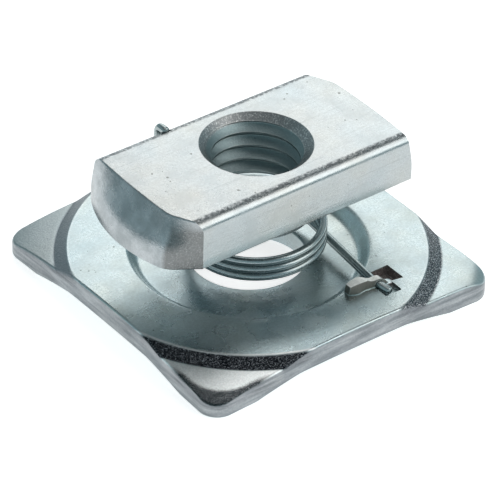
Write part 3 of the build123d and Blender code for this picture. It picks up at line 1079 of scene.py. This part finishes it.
def dark_reflection_line_region(tree, place, x, y, z, across):
    """A dark, grainy line painted along both long edges of the top: a painted reflection, broken up by grain."""
    middle = math_node(tree, "ABSOLUTE", math_node(tree, "SUBTRACT", y, BAR_MIDDLE[1] * MM))
    grainy = stretch(tree, noise(tree, place, 2600.0, 3.0, 0.7), 0.38, 0.55)
    # painted dark reflection along the top's long edges
    mask = times(tree, between(tree, middle, 7.55, 8.2, 0.12), facing_up(tree, 0.76, 0.88), grainy, 0.8)
    return mask, TONES["dark reflection line"], 0.4, 2.0


class SPRINGNUT_OT_nut(bpy.types.Operator):
    """Adds the channel nut with its thread"""

    bl_idname = "springnut.nut"
    bl_label = "Channel Nut"

    def execute(self, context):
        settings = context.scene.springnut_nut
        nut = bridged("nut", bar_levels(settings.edge / MM))
        combine(nut, collar(), "UNION")
        combine(nut, thread_cutter(settings), "DIFFERENCE")
        x, y, _ = HOOK[-1]
        low, high = (x - NOTCH_HALF, y - CLEAR, NOTCH_FLOOR), (x + NOTCH_HALF, y + 2, CREST + 1)
        combine(nut, block("hook_notch", low, high, 0.12), "DIFFERENCE")
        outward(nut)
        finish_piece(nut, plated_steel(
            "Plated Nut", settings.colour, 0.25, 0.55, 0.45, drift=0.35, mottle=0.06, pit_size=0.21,
            regions=(bore_region, end_region, dark_reflection_line_region)), 28)
        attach(nut, "nut")
        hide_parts("channel_nut")
        return {"FINISHED"}


# ---------------------------------------------------------------- the stage

CAMERA_AZIMUTH, CAMERA_ELEVATION, CAMERA_ROLL, CAMERA_DISTANCE = -38.13, 36.22, 1.30, 415.2
LENS, SENSOR = 260.9, 36.0
AIM_RIGHT, AIM_UP = 0.332, 2.52
SKY = ((0.0, 0.40), (0.45, 0.55), (0.72, 0.22), (0.85, 0.06), (1.0, 0.04))  # height and tone
SOFTBOXES = (  # place, size, power, colour
    ("back_softbox", (520, 650, 490), 640, 1.85, (1.0, 0.93, 0.895)),
    ("right_softbox", (500, -650, 640), 700, 2.9, (1.0, 0.945, 0.915)),
    ("upper_softbox", (300, 450, 870), 280, 0.65, (1.0, 0.96, 0.94)))
FLOOR_GLOW = 0.68


def soft_light(name, place, size, power, colour):
    """A square soft light that faces the object, placed in millimetres."""
    clear_selection()
    bpy.ops.object.light_add(type="AREA", location=Vector(place) * MM)
    light = bpy.context.object
    light.name = light.data.name = name
    light.data.size, light.data.energy, light.data.color = size * MM, power, colour
    light.rotation_euler = (-Vector(place)).to_track_quat("-Z", "Y").to_euler()


def pale_floor():
    """The floor's material: it keeps the object's shadow, and is pale to the camera and in reflections."""
    made = bpy.data.materials.new("Pale Floor")
    made.use_nodes = True
    tree = made.node_tree
    shader = tree.nodes["Principled BSDF"]
    shader.inputs["Base Color"].default_value = (0.95, 0.935, 0.925, 1)
    shader.inputs["Roughness"].default_value = 0.9
    path = tree.nodes.new("ShaderNodeLightPath")
    seen = math_node(tree, "MAXIMUM", path.outputs["Is Camera Ray"], math_node(
        tree, "MAXIMUM", path.outputs["Is Glossy Ray"], path.outputs["Is Transmission Ray"]))
    glow = tree.nodes.new("ShaderNodeEmission")
    tree.links.new(times(tree, seen, FLOOR_GLOW), glow.inputs["Strength"])
    together = tree.nodes.new("ShaderNodeAddShader")
    tree.links.new(shader.outputs["BSDF"], together.inputs[0])
    tree.links.new(glow.outputs["Emission"], together.inputs[1])
    tree.links.new(together.outputs["Shader"], tree.nodes["Material Output"].inputs["Surface"])
    return made


def studio_world():
    """Surroundings: grey round the horizon, dark above it, and white round the dark point overhead."""
    world = bpy.data.worlds.new("Studio")
    world.use_nodes = True
    tree = world.node_tree
    height = split_up(tree, tree.nodes.new("ShaderNodeTexCoord").outputs["Generated"])[2]
    ramp = tree.nodes.new("ShaderNodeValToRGB")
    marks = ramp.color_ramp.elements
    for place, tone in SKY:
        mark = marks.new(place) if place else marks[0]
        mark.color = (tone * 0.75, tone, tone * 1.07, 1)
    tree.links.new(height, ramp.inputs["Fac"])
    tree.links.new(ramp.outputs["Color"], tree.nodes["Background"].inputs["Color"])
    return world


def place_camera():
    """The camera, by its direction from the object, its roll, and how far its aim lies off the origin."""
    a, e, roll = radians(CAMERA_AZIMUTH), radians(CAMERA_ELEVATION), radians(CAMERA_ROLL)
    back = Vector((sin(a) * cos(e), -cos(a) * cos(e), sin(e)))
    right = Vector((cos(a), sin(a), 0))
    up = back.cross(right)
    right, up = right * cos(roll) + up * sin(roll), up * cos(roll) - right * sin(roll)
    place = back * CAMERA_DISTANCE
    view = (place - right * AIM_RIGHT - up * AIM_UP).normalized()
    right = (right - view * right.dot(view)).normalized()
    clear_selection()
    bpy.ops.object.camera_add(location=place * MM)
    camera = bpy.context.object
    camera.name = "camera"
    camera.rotation_euler = Matrix((right, view.cross(right), view)).transposed().to_euler()
    camera.data.lens, camera.data.sensor_width = LENS, SENSOR
    camera.data.clip_start, camera.data.clip_end = 0.01, 10
    return camera


class SPRINGNUT_OT_stage(bpy.types.Operator):
    """Adds the pale floor, the soft lights, the surroundings and the camera"""

    bl_idname = "springnut.stage"
    bl_label = "Stage"

    def execute(self, context):
        scene = context.scene
        scene.view_settings.view_transform = "Standard"
        clear_selection()
        bpy.ops.mesh.primitive_plane_add(size=3.0, location=(0, 0, -0.02 * MM))
        floor = settled(named("floor"))
        floor.data.materials.append(pale_floor())
        scene.world = studio_world()
        for softbox in SOFTBOXES:
            soft_light(*softbox)
        scene.camera = place_camera()
        return {"FINISHED"}


# ---------------------------------------------------------------- panel and running


class SPRINGNUT_PT_panel(bpy.types.Panel):
    """Lists the pieces of the spring nut"""

    bl_idname = "SPRINGNUT_PT_panel"
    bl_label = "Spring Nut"
    bl_space_type = "VIEW_3D"
    bl_region_type = "UI"
    bl_category = "Spring Nut"

    def draw(self, context):
        for settings in ("springnut_washer", "springnut_wire", "springnut_nut"):
            box = self.layout.box()
            group = getattr(context.scene, settings)
            for name in group.bl_rna.properties.keys():
                if name not in ("rna_type", "name"):
                    box.prop(group, name)
        for name in STEPS:
            self.layout.operator(f"springnut.{name}")


STEPS = ("washer", "spring", "nut", "stage")
CLASSES = (SpringNutWasher, SpringNutWire, SpringNutNut, SPRINGNUT_OT_washer, SPRINGNUT_OT_spring,
           SPRINGNUT_OT_nut, SPRINGNUT_OT_stage, SPRINGNUT_PT_panel)
GROUPS = {"springnut_washer": SpringNutWasher, "springnut_wire": SpringNutWire, "springnut_nut": SpringNutNut}


def register():
    for item in CLASSES:
        bpy.utils.register_class(item)
    for name, group in GROUPS.items():
        setattr(bpy.types.Scene, name, bpy.props.PointerProperty(type=group))


def unregister():
    for name in GROUPS:
        delattr(bpy.types.Scene, name)
    for item in reversed(CLASSES):
        bpy.utils.unregister_class(item)


def main():
    """Builds every piece and the stage."""
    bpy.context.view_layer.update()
    register()
    for name in STEPS:
        getattr(bpy.ops.springnut, name)()


if __name__ == "__main__":
    main()
